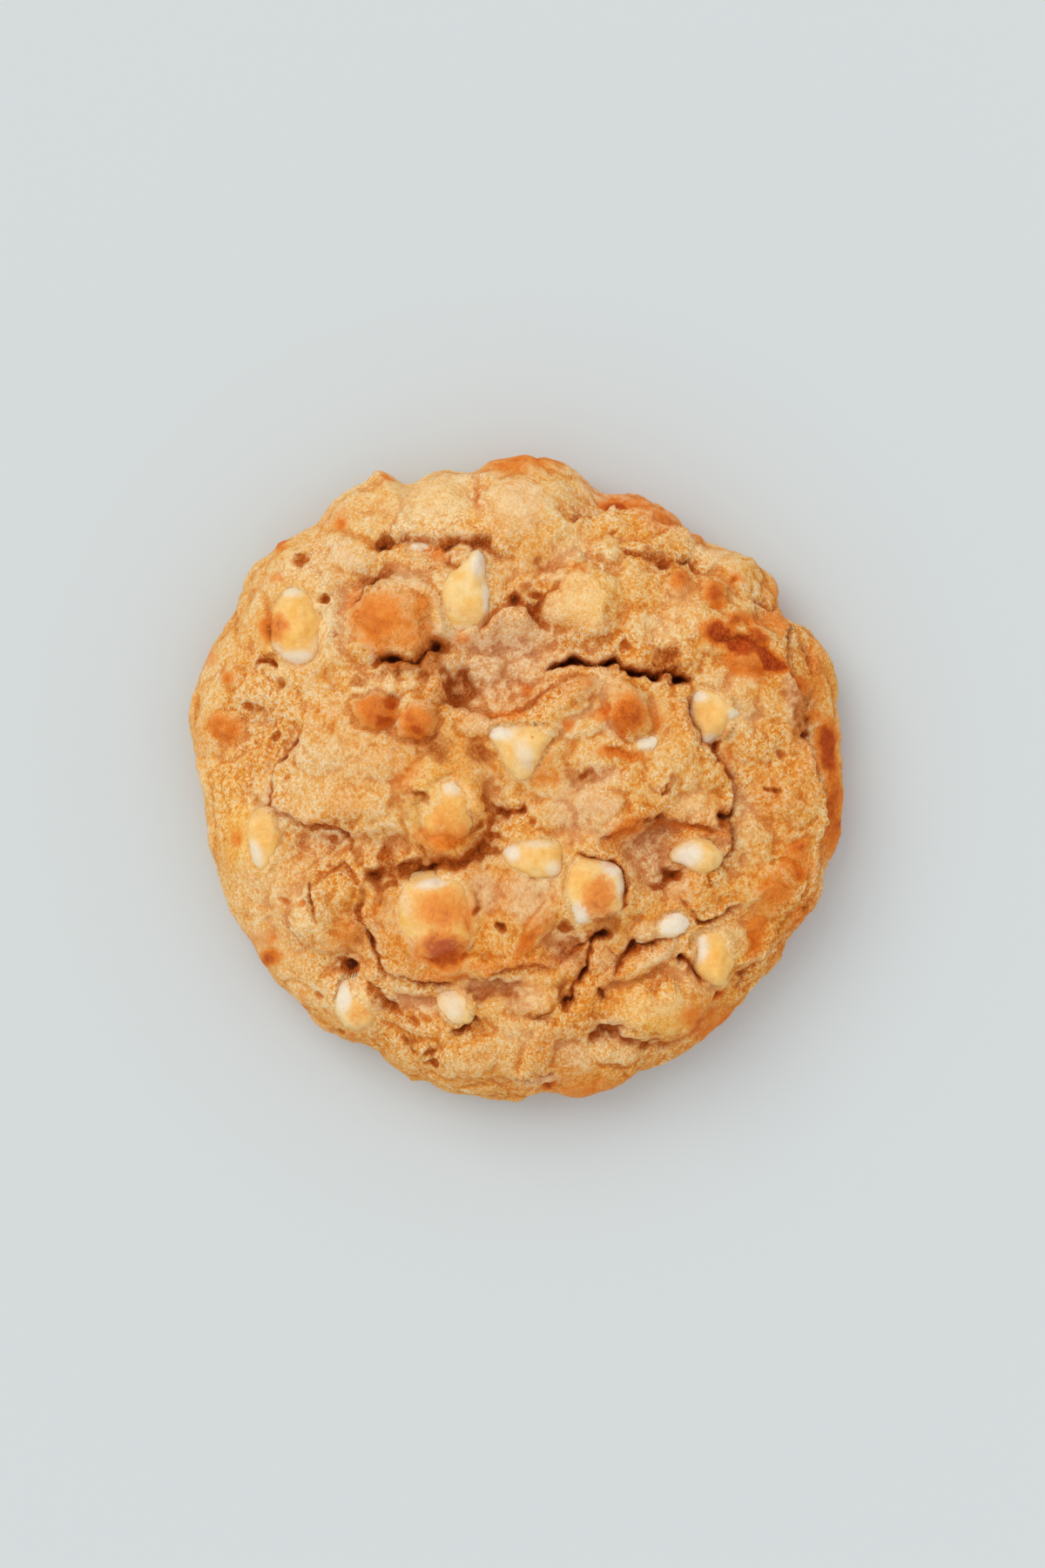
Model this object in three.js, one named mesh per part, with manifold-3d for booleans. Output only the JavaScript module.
// A thick dropped cookie: one baked mass of soft dough, torn into slabs as it rose, with white
// baking chips sunk in its top. Millimetres, z up. It rests on its flat underside at z = 0.
// Seen from above, +x is to the right and +y is away from the viewer.

import * as THREE from 'three';
import { mergeVertices } from 'three/addons/utils/BufferGeometryUtils.js';
import { SimplexNoise } from 'three/addons/math/SimplexNoise.js';
import Module from 'manifold-3d';

// ---------------------------------------------------------------- driving sizes

const MEAN_RADIUS = 45.8;
const CROWN_LEVEL = 22.5;       // height of the middle, without its lumps
const GIRTH_LEVEL = 7;          // height of the widest level
const FOOT_INSET = 3;           // how far the underside tucks in below the girth
const SHOULDER_POWER = 2.7;     // above 2, the top is flatter and the shoulder rounder
const DOME_POWER = 2.1;
const SKIN_FADE = 3;            // relief fades out over this height above the table
const STEP_WIDTH = 1.6;         // plan width over which a seam steps from one slab to the next
const SEAM_TAPER = 0.14;        // share of a seam's length over which each end dies away
const BULGE_POWER = 1.5;        // how flat-topped and how steep-sided a swelling is
const BULGE_STEEPNESS = 0.8;
const RIM_SHARE = 0.99;         // share of the edge radius at which the top counts as ended

const RING_COUNT = 31;          // rows of the skin between the crown and the foot
const SIDE_SPARSENESS = 0.55;   // rows on the side are this much sparser than on the top
const SECTION_STEPS = 400;      // fineness of the section when its length is measured

const POCKET_GAP = 0.3;         // clearance between a chip and the dough round it
const MOUND_SPREAD = 1.5;       // width of the mound round a chip against the chip's own
const CHIP_SIDES = 14;
const CHIP_HEIGHT_SHARE = 0.5;  // a chip's height above its widest level against its width
const MERGE_DISTANCE = 1e-4;

// Where the edge runs out past the mean radius or falls short of it:
// bearing in degrees from +x, reach in mm, and half-width in degrees.
const LOBES = [
  [4, 1.2, 10], [20, 2.3, 5], [30, -1.3, 3], [41, 1.2, 4], [54, -2.4, 6], [70, -1.9, 8],
  [88, 1.3, 6], [99, -2.0, 3.5], [115.5, 2.8, 2.6], [122, 1.4, 5], [141, 3.2, 5],
  [160, 2.7, 9], [221, -0.8, 5], [240, -1.1, 6], [262, 1.0, 9], [285, 0.9, 7], [345, 1.4, 10],
];

// Swellings (positive) and hollows (negative) of the top:
// middle x, y, half-width, half-depth, turn in degrees, height.
const SWELLINGS = [
  [-3, 38, 10, 7, 0, 1.2],          // pale crown at the far edge
  [-25, 0, 12, 8, 0, 1.6],          // smooth slab, left of the middle
  [12, 4, 13, 9, -10, 2.0],         // slab right of the middle
  [20, 23, 13, 7, -20, 1.2],        // far right slab
  [-18, 21.5, 5, 5, 0, 2.2],        // browned mound by the far left chip
  [8.5, 24.5, 4.5, 4.5, 0, 1.9],    // covered chip
  [20, -33, 7.5, 4, 10, 1.6],       // covered chip near the lower right edge
  [-26, -19, 5, 5, 30, 1.4],        // leaf-shaped slab
  [-2, -38, 13, 6, 0, 0.9],         // near bulge
  [30, 20, 7, 3, -20, 1.0],         // scorched ridge
  [-2, 15.5, 9, 5, 20, -3.4],       // valley across the middle
  [-27, -9.3, 5, 2.6, 0, -2.0],     // hollow under the smooth slab
  [19.5, -11.5, 4, 4.5, 0, -2.4],   // crumbly hollow, lower right
  [-6, -9, 4, 3, 20, -1.6],         // hollow below the middle chips
  [-39, 3, 5, 7, 0, -1.4],          // torn left shoulder
  [-24.5, -27.5, 3, 2, 0, -1.4],    // hollow, lower left
];

// Seams between slabs. Walking along a route, the slab on the left-hand side stands up by lift
// and the ground on the right-hand side lies down by drop, both dying away over reach. Between
// them opens a crack of the given half-width and depth.
const SEAMS = [
  { // ledge under the far crown
    route: [[-19.3, 36], [-19.2, 33.3], [-14, 32.8], [-8, 33.7], [-2, 32.5], [1, 30.3], [4, 31.4]],
    lift: 1.6, drop: 1.6, reach: 5, width: 0.9, depth: 1.6,
  },
  { // slab in the middle over the valley
    route: [[9, 15], [5, 12.3], [0.5, 8.7], [-4.2, 8.2], [-9, 10], [-11, 13], [-11.5, 15.2]],
    lift: 1.2, drop: 1.4, reach: 4, width: 0.8, depth: 1.0,
  },
  { // crack at the head of the left slab
    route: [[-10, 19.5], [-12, 17.5], [-16, 16.2], [-21, 15.2]],
    lift: 1.0, drop: 0.6, reach: 4, width: 0.9, depth: 2.6,
  },
  { // long crack right of the middle
    route: [[25, 13], [19, 14.4], [14, 16.3], [7.5, 16.8], [3, 15.1]],
    lift: 1.1, drop: -0.6, reach: 4, width: 1.1, depth: 4.2,
  },
  { // right edge of the middle slab
    route: [[27, -14], [28, -12], [30.2, -6], [30.3, -2], [27.5, 3], [24, 8], [23.3, 12]],
    lift: 1.6, drop: 1.2, reach: 4.5, width: 0.9, depth: 1.8,
  },
  { // lower edge of the middle slab
    route: [[11, -8], [17.5, -6.2], [23, -6.5], [29, -7]],
    lift: 1.2, drop: 1.0, reach: 4, width: 0.7, depth: 0.8,
  },
  { // left slab over its hollow
    route: [[-29, 8], [-32.5, 3], [-34.5, -2], [-31, -7], [-24, -8.5]],
    lift: 1.2, drop: 1.4, reach: 4, width: 0.8, depth: 0.8,
  },
  { // foot of the browned mound
    route: [[-22.3, -17], [-21.3, -22], [-19, -27], [-14.5, -28.4], [-8.5, -29.5]],
    lift: 1.4, drop: 0.8, reach: 4, width: 0.9, depth: 2.2,
  },
  { // folded flap towards the near edge
    route: [[-6, -29], [0, -27.4], [6, -27.4]],
    lift: 1.1, drop: 1.0, reach: 4, width: 0.7, depth: 0.8,
  },
  { // forked crack below the middle
    route: [[14.5, -22], [10, -23.5], [9.5, -27], [7, -32], [5.3, -34.5]],
    lift: 0.4, drop: 0.3, reach: 3, width: 0.9, depth: 2.6,
  },
  { // crease below the lower right chips
    route: [[21.5, -25.2], [15.5, -24.6], [12.5, -29], [10.5, -32]],
    lift: 0.5, drop: 0.5, reach: 3, width: 0.8, depth: 1.4,
  },
  { // step down to the low shelf along the right edge
    route: [[37, -26], [42.3, -17], [44.2, -7], [41.8, 4], [38.5, 14], [38.3, 23]],
    lift: 0.4, drop: 1.2, reach: 4, width: 0.7, depth: 0.7,
  },
  { // step down to the low shelf at the far right
    route: [[26, 34.3], [21, 36.2], [15, 38.3], [9, 37.3], [7, 35]],
    lift: 0.6, drop: 2.2, reach: 4, width: 0.7, depth: 0.6,
  },
  { // ledge along the far right slab
    route: [[13, 33.3], [18, 31], [24.5, 31], [29, 28]],
    lift: 0.9, drop: 0.8, reach: 3.5, width: 0.7, depth: 0.8,
  },
  { // ledge by the lower left chip
    route: [[-13, -35], [-17.5, -33.8], [-20.5, -30.5], [-22.3, -28]],
    lift: 0.6, drop: 0.8, reach: 3, width: 0.8, depth: 0.9,
  },
];

// Uneven grain of the skin: wavelength and height of each layer.
const GRAIN = [[13, 0.55], [5.5, 0.42], [3, 0.2]];
const GRAIN_SEED = 20;

// Half profile of a sagged chip, radius and height, 1 wide and 1 high above its widest level.
const CHIP_PROFILE = [[0, -0.4], [0.75, -0.4], [1, 0], [0.94, 0.42], [0.76, 0.74], [0.45, 0.93], [0, 1]];

// Chips: middle x, y, width and depth, turn in degrees, height of the mound of dough that the
// chip pushes up, how far its top stands proud of that, and the bearing and angle by which it
// leans. Corners run out of its round outline: bearing, reach as a share of the radius, and
// half-width in degrees.
const CHIPS = {
  chip_northwest: {
    at: [-31.3, 21], size: [9.4, 12], turn: 0, mound: 1.2, proud: 1.3, lean: [160, 6],
    corners: [[100, 0.12, 18]],
  },
  chip_north: {
    at: [-7.6, 24.8], size: [7.4, 9.6], turn: 0, mound: 0.9, proud: 1.6, lean: [250, 8],
    corners: [[72, 0.6, 15], [225, 0.12, 20]],
  },
  chip_middle: {
    at: [0.4, 4.2], size: [7.4, 7.2], turn: 0, mound: 0.8, proud: 1.2, lean: [200, 10],
    corners: [[152, 0.5, 18], [30, 0.45, 20], [270, 0.35, 20]],
  },
  chip_middle_left: {
    at: [-10, -4.5], size: [8.8, 10.6], turn: 0, mound: 1.6, proud: 1.4, lean: [120, 6],
    corners: [[60, 0.1, 20], [250, 0.12, 20]],
  },
  chip_middle_low: {
    at: [2.2, -11.5], size: [8, 6], turn: 0, mound: 0.7, proud: 1.2, lean: [120, 8],
    corners: [[38, 0.25, 18], [165, 0.18, 18], [318, 0.25, 16]],
  },
  chip_south_middle: {
    at: [10.4, -15.8], size: [9, 9.2], turn: 0, mound: 1.6, proud: 1.5, lean: [330, 8],
    corners: [[242, 0.2, 16], [50, 0.12, 18]],
  },
  chip_southwest: {
    at: [-11.8, -19.6], size: [12, 13.4], turn: 0, mound: 2.0, proud: 2.0, lean: [250, 8],
    corners: [[150, 0.1, 16], [60, 0.08, 16], [330, 0.06, 16]],
  },
  chip_hollow: {
    at: [25.4, -11], size: [6.8, 5.2], turn: -10, mound: 0.3, proud: 1.1, lean: [120, 8],
    corners: [[200, 0.2, 18]],
  },
  chip_east: {
    at: [27.2, 8.7], size: [7.4, 8], turn: 0, mound: 0.7, proud: 1.2, lean: [90, 6],
    corners: [[135, 0.2, 16], [250, 0.25, 16], [10, 0.1, 16]],
  },
  chip_southeast: {
    at: [21.6, -21], size: [6.4, 4.2], turn: 20, mound: 0.3, proud: 1.1, lean: [30, 8],
    corners: [[186, 0.8, 16]],
  },
  chip_southeast_edge: {
    at: [27.6, -25], size: [6.6, 8.2], turn: 0, mound: 0.8, proud: 1.1, lean: [150, 8],
    corners: [[140, 0.15, 18], [290, 0.2, 16]],
  },
  chip_south: {
    at: [-8.8, -32.6], size: [5.6, 5.6], turn: 0, mound: 0.4, proud: 1.1, lean: [150, 8],
    corners: [[140, 0.2, 16], [320, 0.15, 16]],
  },
  chip_southwest_edge: {
    at: [-22.9, -32.2], size: [6.8, 8], turn: 0, mound: 0.8, proud: 1.2, lean: [180, 6],
    corners: [[130, 0.15, 16]],
  },
  chip_west_edge: {
    at: [-36, -8.8], size: [5.6, 9.6], turn: 0, mound: 0.8, proud: 1.1, lean: [180, 6],
    corners: [[60, 0.12, 16]],
  },
  chip_sliver: {
    at: [18, 4.8], size: [4, 3], turn: 15, mound: 0, proud: 0.6, lean: [60, 10],
    corners: [[200, 0.1, 20]],
  },
  chip_far_sliver: {
    at: [-14.1, 32.3], size: [4, 2.6], turn: 0, mound: 0, proud: 1.7, lean: [90, 10],
    corners: [[0, 0.1, 20]],
  },
};

const COLOURS = { dough: '#dca565', chip: '#e9d3a6' };

// ---------------------------------------------------------------- small helpers

const radians = THREE.MathUtils.degToRad;
const smooth = (x, from, to) => THREE.MathUtils.smoothstep(x, from, to);

// Repeatable random numbers between 0 and 1.
function seededRandom(seed) {
  let state = seed;
  return () => {
    state = (state * 16807) % 2147483647;
    return (state - 1) / 2147483646;
  };
}

const grainNoise = new SimplexNoise({ random: seededRandom(GRAIN_SEED) });

// ---------------------------------------------------------------- the form of the dough

// A round outline of the given radius that runs out at its lobes; the bearing is in degrees.
function lobedRadius(bearing, radius, lobes) {
  return lobes.reduce((sum, [middle, reach, width]) => {
    const away = THREE.MathUtils.euclideanModulo(bearing - middle + 180, 360) - 180;
    return sum + reach * Math.exp(-((away / width) ** 2) / 2);
  }, radius);
}

const edgeRadius = (bearing) => lobedRadius(bearing, MEAN_RADIUS, LOBES);

// The half section as points [share of the edge radius, inset, height], crown to foot.
function sectionPoints() {
  const points = [];
  for (let i = 0; i <= SECTION_STEPS; i++) {
    const angle = (Math.PI / 2) * (i / SECTION_STEPS);
    const share = Math.sin(angle) ** (2 / SHOULDER_POWER);
    const height = GIRTH_LEVEL + (CROWN_LEVEL - GIRTH_LEVEL) * Math.cos(angle) ** (2 / DOME_POWER);
    points.push([share, 0, height]);
  }
  for (let i = 1; i <= SECTION_STEPS; i++) {
    const angle = (Math.PI / 2) * (i / SECTION_STEPS);
    points.push([1, FOOT_INSET * (1 - Math.cos(angle)), GIRTH_LEVEL * (1 - Math.sin(angle))]);
  }
  return points;
}

// Rows of the skin, even along the section, but sparser where it is steep.
function skinRows() {
  const points = sectionPoints();
  const travelled = [0];
  for (let i = 1; i < points.length; i++) {
    const across = MEAN_RADIUS * (points[i][0] - points[i - 1][0]) - (points[i][1] - points[i - 1][1]);
    const down = points[i][2] - points[i - 1][2];
    const length = Math.hypot(across, SIDE_SPARSENESS * down);
    travelled.push(travelled[i - 1] + length);
  }
  const total = travelled[travelled.length - 1];
  const rows = [];
  let k = 0;
  for (let row = 0; row <= RING_COUNT; row++) {
    const wanted = (total * row) / RING_COUNT;
    while (k < points.length - 2 && travelled[k + 1] < wanted) {
      k += 1;
    }
    const mix = (wanted - travelled[k]) / (travelled[k + 1] - travelled[k]);
    const at = points[k].map((value, axis) => THREE.MathUtils.lerp(value, points[k + 1][axis], mix));
    const across = MEAN_RADIUS * (points[k + 1][0] - points[k][0]) - (points[k + 1][1] - points[k][1]);
    const down = points[k][2] - points[k + 1][2];
    const length = Math.hypot(across, down);
    rows.push({ share: at[0], inset: at[1], height: at[2], out: down / length, up: across / length });
  }
  rows[0].height = CROWN_LEVEL;
  rows[RING_COUNT].height = 0;
  return rows;
}

// Nearest point of a route: distance, side (+1 left, -1 right) and share of the way along.
function nearestOnRoute(x, y, route) {
  let best = { distance: Infinity, side: 1, along: 0 };
  const spans = route.length - 1;
  for (let i = 0; i < spans; i++) {
    const [ax, ay] = route[i];
    const [dx, dy] = [route[i + 1][0] - ax, route[i + 1][1] - ay];
    const t = THREE.MathUtils.clamp(((x - ax) * dx + (y - ay) * dy) / (dx * dx + dy * dy), 0, 1);
    const distance = Math.hypot(x - ax - t * dx, y - ay - t * dy);
    if (distance < best.distance) {
      const side = Math.sign(dx * (y - ay) - dy * (x - ax)) || 1;
      best = { distance, side, along: (i + t) / spans };
    }
  }
  return best;
}

function seamRelief(x, y, seam) {
  const { distance, side, along } = nearestOnRoute(x, y, seam.route);
  const taper = smooth(along, 0, SEAM_TAPER) * smooth(1 - along, 0, SEAM_TAPER);
  const fade = Math.exp(-((distance / seam.reach) ** 2));
  const step = THREE.MathUtils.lerp(
    -seam.drop, seam.lift, smooth(side * distance, -STEP_WIDTH / 2, STEP_WIDTH / 2),
  );
  const crack = -seam.depth * Math.exp(-((distance / seam.width) ** 2));
  return taper * (step * fade + crack);
}

function swelling(x, y, [cx, cy, halfWidth, halfDepth, turn, height]) {
  const angle = radians(turn);
  const along = ((x - cx) * Math.cos(angle) + (y - cy) * Math.sin(angle)) / halfWidth;
  const across = ((y - cy) * Math.cos(angle) - (x - cx) * Math.sin(angle)) / halfDepth;
  return height * Math.exp(-((along ** 2 + across ** 2) ** BULGE_POWER) * BULGE_STEEPNESS);
}

// The dough that a chip pushes up round itself.
function mound(x, y, { at, size, turn, mound: height }) {
  const [halfWidth, halfDepth] = size.map((side) => (side / 2) * MOUND_SPREAD);
  return swelling(x, y, [...at, halfWidth, halfDepth, turn, height]);
}

function relief(x, y, z) {
  let height = 0;
  for (const lump of SWELLINGS) {
    height += swelling(x, y, lump);
  }
  for (const chip of Object.values(CHIPS)) {
    height += mound(x, y, chip);
  }
  for (const seam of SEAMS) {
    height += seamRelief(x, y, seam);
  }
  for (const [wavelength, size] of GRAIN) {
    height += size * grainNoise.noise3d(x / wavelength, y / wavelength, z / wavelength);
  }
  return height;
}

// Height of the finished top over a point of the plan.
function topLevel(x, y) {
  const bearing = THREE.MathUtils.radToDeg(Math.atan2(y, x));
  const share = Math.min(Math.hypot(x, y) / edgeRadius(bearing), RIM_SHARE);
  const bare = (1 - share ** SHOULDER_POWER) ** (1 / DOME_POWER);
  const level = GIRTH_LEVEL + (CROWN_LEVEL - GIRTH_LEVEL) * bare;
  return level + relief(x, y, level);
}

// Square sheet -1..1 laid over the whole skin: each square ring of it becomes one row.
function doughGeometry() {
  const rows = skinRows();
  const sheet = new THREE.PlaneGeometry(2, 2, 2 * RING_COUNT, 2 * RING_COUNT);
  const corner = sheet.getAttribute('position');
  const vertices = [];
  for (let i = 0; i < corner.count; i++) {
    const u = corner.getX(i);
    const v = corner.getY(i);
    const row = rows[Math.round(Math.max(Math.abs(u), Math.abs(v)) * RING_COUNT)];
    const bearing = squareBearing(u, v);
    const radius = edgeRadius(THREE.MathUtils.radToDeg(bearing)) * row.share - row.inset;
    const x = radius * Math.cos(bearing);
    const y = radius * Math.sin(bearing);
    const push = relief(x, y, row.height) * smooth(row.height, 0, SKIN_FADE);
    const out = push * row.out;
    vertices.push(
      x + out * Math.cos(bearing),
      y + out * Math.sin(bearing),
      Math.max(row.height + push * row.up, 0),
    );
  }
  return closeUnderneath(vertices, [...sheet.getIndex().array], 2 * RING_COUNT + 1);
}

// Bearing of a point of the square, so that each of its sides takes a quarter turn.
function squareBearing(u, v) {
  const quarter = Math.PI / 4;
  if (u === 0 && v === 0) {
    return 0;
  }
  if (Math.abs(u) >= Math.abs(v)) {
    return quarter * (v / u) + (u < 0 ? Math.PI : 0);
  }
  return quarter * (2 - u / v) + (v < 0 ? Math.PI : 0);
}

// Flat underside: a fan from the middle to the sheet's border.
function closeUnderneath(vertices, triangles, across) {
  const middle = vertices.length / 3;
  vertices.push(0, 0, 0);
  const last = across - 1;
  const border = [];
  for (let i = 0; i < last; i++) border.push(i);
  for (let i = 0; i < last; i++) border.push(i * across + last);
  for (let i = last; i > 0; i--) border.push(last * across + i);
  for (let i = last; i > 0; i--) border.push(i * across);
  border.forEach((from, i) => {
    triangles.push(middle, from, border[(i + 1) % border.length]);
  });
  const geometry = new THREE.BufferGeometry();
  geometry.setAttribute('position', new THREE.Float32BufferAttribute(vertices, 3));
  geometry.setIndex(triangles);
  return geometry;
}

// ---------------------------------------------------------------- the chips

// A sagged drop of radius 1 with the given corners, its widest level at z = 0.
function chipGeometry(corners) {
  const profile = CHIP_PROFILE.map(([radius, height]) => new THREE.Vector2(radius, height));
  const drop = new THREE.LatheGeometry(profile, CHIP_SIDES);
  drop.rotateX(Math.PI / 2);
  const point = drop.getAttribute('position');
  for (let i = 0; i < point.count; i++) {
    const bearing = THREE.MathUtils.radToDeg(Math.atan2(point.getY(i), point.getX(i)));
    const stretch = lobedRadius(bearing, 1, corners);
    point.setXY(i, stretch * point.getX(i), stretch * point.getY(i));
  }
  return closed(drop);
}

// Size, lean and place of a chip, grown all round by the given margin.
function placeChip({ at, size, turn, proud, lean, corners }, margin) {
  const [width, depth] = size;
  const height = CHIP_HEIGHT_SHARE * Math.min(width, depth);
  const [bearing, angle] = lean.map(radians);
  const drop = chipGeometry(corners);
  drop.scale(width / 2 + margin, depth / 2 + margin, height + margin);
  drop.rotateZ(radians(turn));
  drop.applyQuaternion(new THREE.Quaternion().setFromAxisAngle(
    new THREE.Vector3(-Math.sin(bearing), Math.cos(bearing), 0), angle,
  ));
  drop.computeBoundingBox();
  const top = topLevel(at[0], at[1]) + proud + margin;
  drop.translate(at[0], at[1], top - drop.boundingBox.max.z);
  return drop;
}

// ---------------------------------------------------------------- cutting the pockets

// Only positions are kept and shared corners are merged, so that the mesh is one closed body.
function closed(geometry) {
  const bare = new THREE.BufferGeometry();
  bare.setAttribute('position', geometry.getAttribute('position').clone());
  bare.setIndex(geometry.getIndex());
  return mergeVertices(bare, MERGE_DISTANCE);
}

const wasm = await Module();
wasm.setup();

function toSolid(geometry) {
  const mesh = new wasm.Mesh({
    numProp: 3,
    vertProperties: new Float32Array(geometry.getAttribute('position').array),
    triVerts: new Uint32Array(geometry.getIndex().array),
  });
  mesh.merge();
  return new wasm.Manifold(mesh);
}

function toGeometry(solid) {
  const mesh = solid.getMesh();
  const geometry = new THREE.BufferGeometry();
  geometry.setAttribute('position', new THREE.BufferAttribute(mesh.vertProperties, 3));
  geometry.setIndex(new THREE.BufferAttribute(mesh.triVerts, 1));
  return geometry;
}

function doughWithPockets() {
  let dough = toSolid(doughGeometry());
  for (const chip of Object.values(CHIPS)) {
    dough = dough.subtract(toSolid(placeChip(chip, POCKET_GAP)));
  }
  return toGeometry(dough);
}

// ---------------------------------------------------------------- the whole cookie

function named(name, geometry, colour) {
  const mesh = new THREE.Mesh(geometry, new THREE.MeshStandardMaterial({
    color: colour, roughness: 0.85, metalness: 0,
  }));
  mesh.name = name;
  mesh.geometry.computeVertexNormals();
  return mesh;
}

const cookie = new THREE.Group();
cookie.add(named('dough', doughWithPockets(), COLOURS.dough));
for (const [name, chip] of Object.entries(CHIPS)) {
  cookie.add(named(name, placeChip(chip, 0), COLOURS.chip));
}

// The middle of the whole stands over the origin.
const reach = new THREE.Box3().setFromObject(cookie);
cookie.position.set(-(reach.min.x + reach.max.x) / 2, -(reach.min.y + reach.max.y) / 2, 0);

export default cookie;
